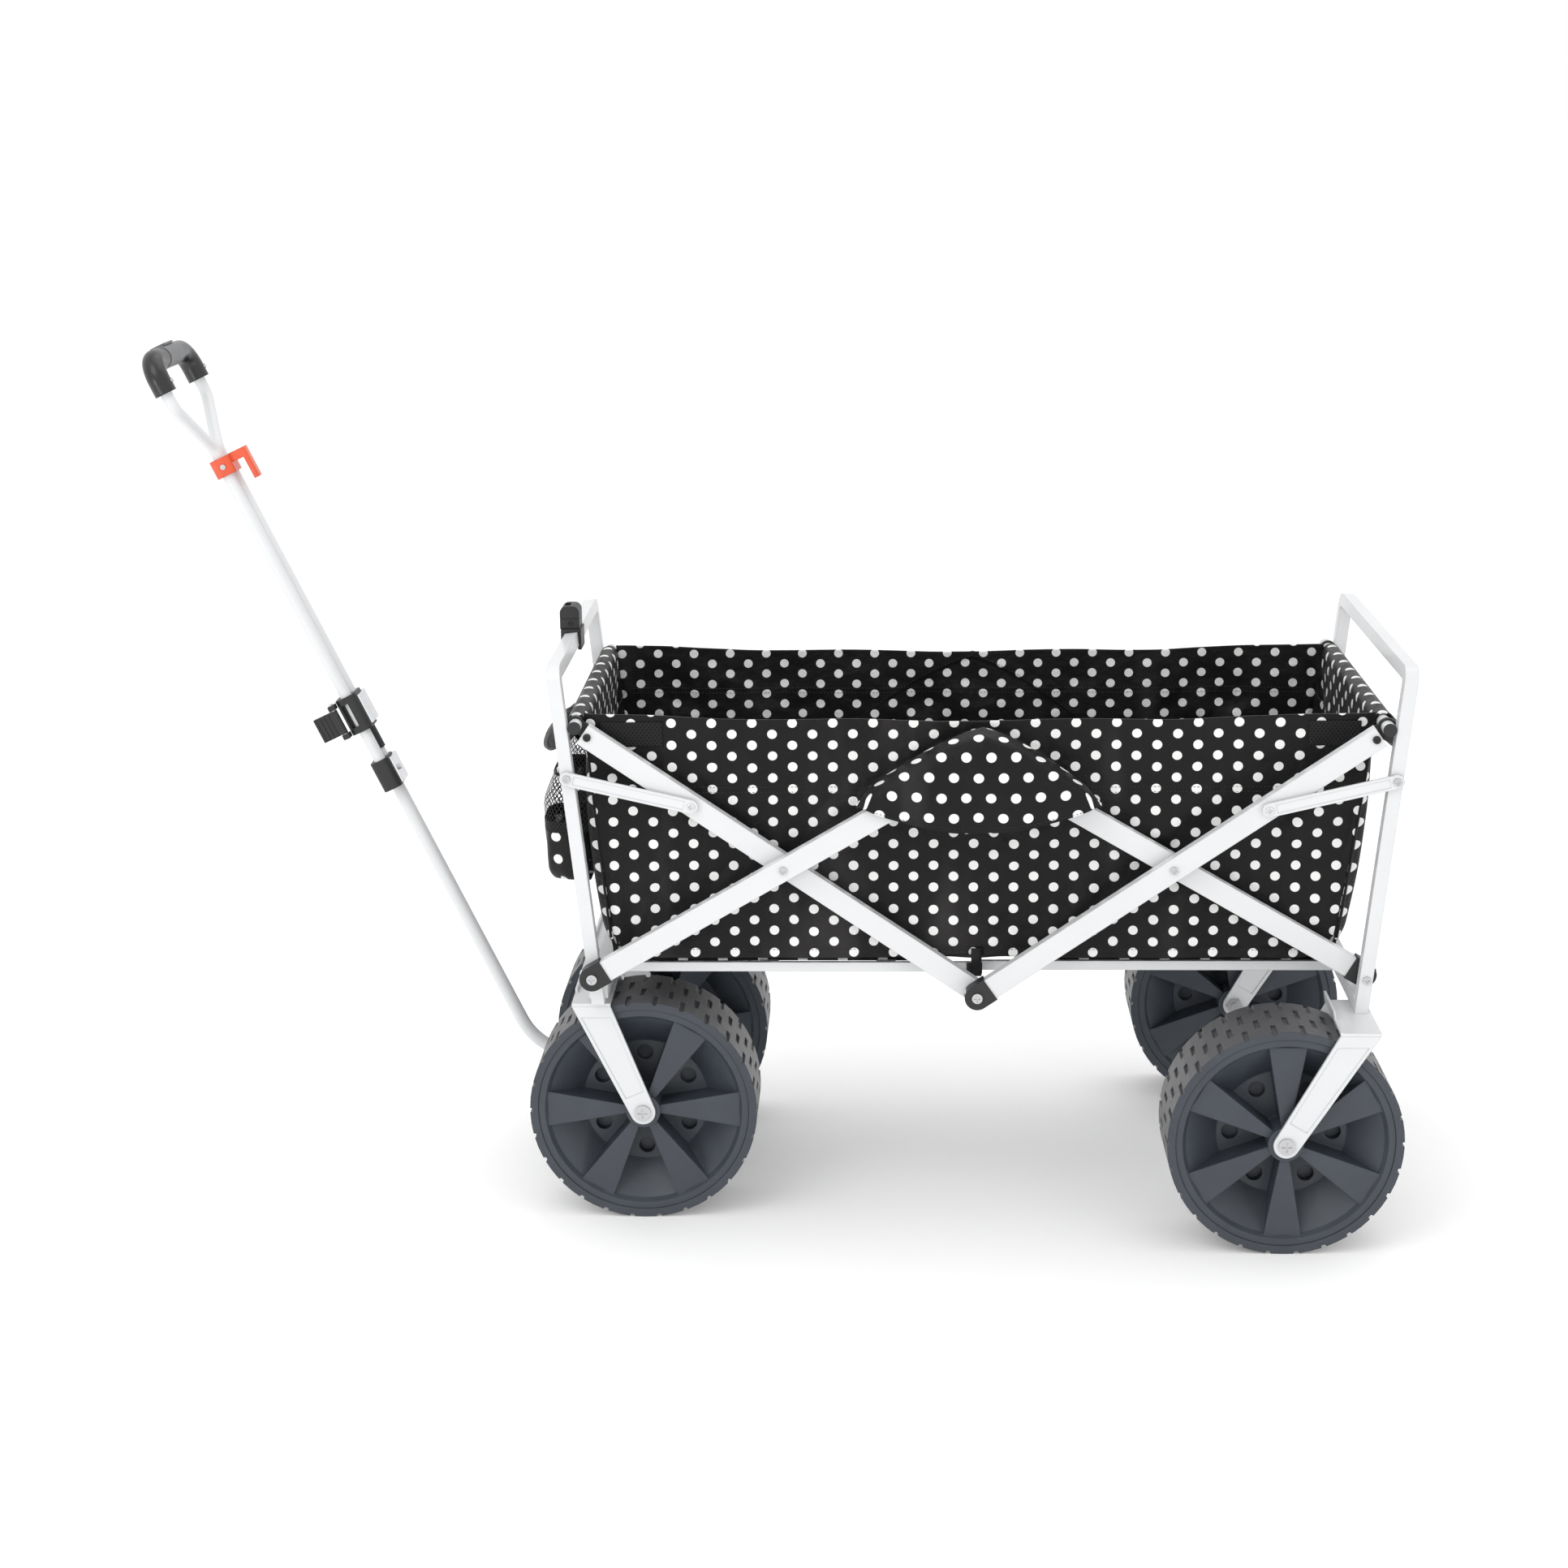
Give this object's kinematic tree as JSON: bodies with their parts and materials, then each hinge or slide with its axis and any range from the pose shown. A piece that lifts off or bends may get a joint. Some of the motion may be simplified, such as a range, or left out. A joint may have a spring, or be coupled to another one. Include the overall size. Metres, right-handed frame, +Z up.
{
  "type": "folding wagon with pull handle",
  "caption": "Folding fabric wagon on a white scissor frame with fat grey wheels, steering front fork, cup pockets and a telescoping pull handle.",
  "frame": {"origin": "on the floor under the middle of the overall box, pull handle included", "axes": "+X toward the rear of the wagon, away from the pull handle; +Y to the wagon's right; +Z up"},
  "size_m": [1.4706, 0.621, 1.0159],
  "materials": {
    "white_powder_coat": "satin powder coat",
    "steel": "zinc plated",
    "black_plastic": "fine satin grain",
    "dotted_fabric": "black woven polyester with white dots",
    "webbing": "black webbing",
    "wheel_plastic": "satin slate grey",
    "tread_plastic": "satin slate grey, a little lighter",
    "orange_plastic": "glossy",
    "grip_rubber": "smooth black rubber",
    "grey_plastic": "satin",
    "chrome_trim": "polished"
  },
  "bodies": {
    "front_frame": {"front_loop": "white_powder_coat", "steering_kingpin": "steel", "front_frame_pins": "steel", "storage_clip_saddle": "black_plastic", "storage_clip_cap": "black_plastic"},
    "steering_fork": {"front_fork_crown": "white_powder_coat", "front_fork_legs": "white_powder_coat", "front_axle": "steel", "front_axle_fittings": "steel"},
    "left_front_wheel_body": {"left_front_wheel": "wheel_plastic", "left_front_tread": "tread_plastic"},
    "right_front_wheel_body": {"right_front_wheel": "wheel_plastic", "right_front_tread": "tread_plastic"},
    "handle_base": {"handle_lower_tube": "white_powder_coat"},
    "handle_slider": {"handle_upper_tubes": "white_powder_coat", "hand_grip": "grip_rubber", "hand_grip_insert": "grey_plastic", "handle_hook": "orange_plastic", "upper_clamp": "black_plastic", "clamp_plates": "chrome_trim", "lower_clamp": "black_plastic", "handle_screws": "steel"},
    "lock_lever_body": {"lock_lever": "black_plastic"},
    "front_outer_scissor": {"front_outer_bars": "white_powder_coat", "front_outer_bar_caps": "black_plastic", "front_crossing_pins": "steel"},
    "front_inner_scissor": {"front_inner_bars": "white_powder_coat"},
    "rear_outer_scissor": {"rear_outer_bars": "white_powder_coat", "rear_outer_bar_caps": "black_plastic", "rear_crossing_pins": "steel"},
    "rear_inner_scissor": {"rear_inner_bars": "white_powder_coat", "rear_inner_bar_caps": "black_plastic"},
    "rear_frame": {"rear_loop": "white_powder_coat", "rear_frame_pins": "steel", "rear_fork_crowns": "white_powder_coat", "rear_fork_legs": "white_powder_coat", "rear_axle_bolts": "steel"},
    "left_rear_wheel_body": {"left_rear_wheel": "wheel_plastic", "left_rear_tread": "tread_plastic"},
    "right_rear_wheel_body": {"right_rear_wheel": "wheel_plastic", "right_rear_tread": "tread_plastic"},
    "front_rim": {"front_rim_tube": "white_powder_coat", "front_rim_brackets": "black_plastic", "basket_front_end": "dotted_fabric", "basket_side_walls": "dotted_fabric", "cup_pockets": "dotted_fabric", "front_grab_strap": "webbing"},
    "rear_rim": {"rear_rim_tube": "white_powder_coat", "rear_rim_brackets": "black_plastic", "basket_rear_end": "dotted_fabric", "rear_grab_strap": "webbing"},
    "front_link_pair": {"front_links": "white_powder_coat"},
    "rear_link_pair": {"rear_links": "white_powder_coat"},
    "front_floor": {"front_floor_frame": "white_powder_coat", "floor_hinge_brackets": "black_plastic", "front_floor_pad": "dotted_fabric", "floor_centre_strip": "dotted_fabric", "fold_pull_straps": "webbing"},
    "rear_floor": {"rear_floor_frame": "white_powder_coat", "rear_floor_pad": "dotted_fabric"}
  },
  "joints": [
    {"name": "fold", "type": "hinge", "parent": "front_frame", "child": "front_outer_scissor", "pos_m": [-0.21684, 0, 0.308], "axis": [0, -1, 0], "range_deg": [0, 35], "deforming": ["basket_side_walls", "cup_pockets", "front_grab_strap", "rear_grab_strap", "floor_centre_strip", "fold_pull_straps"]},
    {"name": "front_crossing", "type": "hinge", "parent": "front_outer_scissor", "child": "front_inner_scissor", "pos_m": [0.00366, 0, 0.437], "axis": [0, -1, 0], "range_deg": [-67.08, 0]},
    {"name": "bottom_middle_joint", "type": "hinge", "parent": "front_inner_scissor", "child": "rear_outer_scissor", "pos_m": [0.22416, 0, 0.286], "axis": [0, -1, 0], "range_deg": [0, 64.16]},
    {"name": "rear_crossing", "type": "hinge", "parent": "rear_outer_scissor", "child": "rear_inner_scissor", "pos_m": [0.44466, 0, 0.437], "axis": [0, -1, 0], "range_deg": [-67.08, 0]},
    {"name": "rear_frame_level", "type": "hinge", "parent": "rear_inner_scissor", "child": "rear_frame", "pos_m": [0.66516, 0, 0.308], "axis": [0, -1, 0], "range_deg": [0, 35]},
    {"name": "front_rim_level", "type": "hinge", "parent": "front_inner_scissor", "child": "front_rim", "pos_m": [-0.21684, 0, 0.588], "axis": [0, -1, 0], "range_deg": [0, 32.08]},
    {"name": "rear_rim_level", "type": "hinge", "parent": "rear_outer_scissor", "child": "rear_rim", "pos_m": [0.66516, 0, 0.588], "axis": [0, -1, 0], "range_deg": [-32.08, 0]},
    {"name": "front_link_swing", "type": "hinge", "parent": "front_frame", "child": "front_link_pair", "pos_m": [-0.24084, 0, 0.541], "axis": [0, -1, 0], "range_deg": [0, 66.61]},
    {"name": "rear_link_swing", "type": "hinge", "parent": "rear_frame", "child": "rear_link_pair", "pos_m": [0.68916, 0, 0.541], "axis": [0, -1, 0], "range_deg": [-66.61, 0]},
    {"name": "front_floor_lift", "type": "hinge", "parent": "front_frame", "child": "front_floor", "pos_m": [-0.21684, 0, 0.308], "axis": [0, -1, 0], "range_deg": [0, 61.08]},
    {"name": "rear_floor_lift", "type": "hinge", "parent": "rear_frame", "child": "rear_floor", "pos_m": [0.66516, 0, 0.308], "axis": [0, -1, 0], "range_deg": [-61.08, 0]},
    {"name": "steering", "type": "hinge", "parent": "front_frame", "child": "steering_fork", "pos_m": [-0.21284, 0, 0.266], "axis": [0, 0, 1], "range_deg": [-30, 30]},
    {"name": "left_front_wheel_spin", "type": "hinge", "parent": "steering_fork", "child": "left_front_wheel_body", "pos_m": [-0.16484, -0.147, 0.1335], "axis": [0, 1, 0], "continuous": true},
    {"name": "right_front_wheel_spin", "type": "hinge", "parent": "steering_fork", "child": "right_front_wheel_body", "pos_m": [-0.16484, 0.147, 0.1335], "axis": [0, 1, 0], "continuous": true},
    {"name": "left_rear_wheel_spin", "type": "hinge", "parent": "rear_frame", "child": "left_rear_wheel_body", "pos_m": [0.57116, -0.248, 0.1335], "axis": [0, 1, 0], "continuous": true},
    {"name": "right_rear_wheel_spin", "type": "hinge", "parent": "rear_frame", "child": "right_rear_wheel_body", "pos_m": [0.57116, 0.248, 0.1335], "axis": [0, 1, 0], "continuous": true},
    {"name": "handle_pitch", "type": "hinge", "parent": "steering_fork", "child": "handle_base", "pos_m": [-0.16484, 0, 0.1335], "axis": [0, 1, 0], "range_deg": [-45, 22]},
    {"name": "handle_telescope", "type": "slide", "parent": "handle_base", "child": "handle_slider", "axis": [0.4289, 0, -0.9033], "range_m": [0, 0.285]},
    {"name": "lock_lever_flip", "type": "hinge", "parent": "handle_slider", "child": "lock_lever_body", "pos_m": [-0.53413, -0.0322, 0.5639], "axis": [-0.4289, 0, 0.9033], "range_deg": [0, 165]}
  ],
  "couplings": [
    {"joint": "front_crossing", "follows": "fold", "ratio": -1.9166},
    {"joint": "bottom_middle_joint", "follows": "fold", "ratio": 1.8332},
    {"joint": "rear_crossing", "follows": "fold", "ratio": -1.9166},
    {"joint": "rear_frame_level", "follows": "fold", "ratio": 1},
    {"joint": "front_rim_level", "follows": "fold", "ratio": 0.9166},
    {"joint": "rear_rim_level", "follows": "fold", "ratio": -0.9166},
    {"joint": "front_link_swing", "follows": "fold", "ratio": 1.903},
    {"joint": "rear_link_swing", "follows": "fold", "ratio": -1.903},
    {"joint": "front_floor_lift", "follows": "fold", "ratio": 1.745},
    {"joint": "rear_floor_lift", "follows": "fold", "ratio": -1.745}
  ]
}
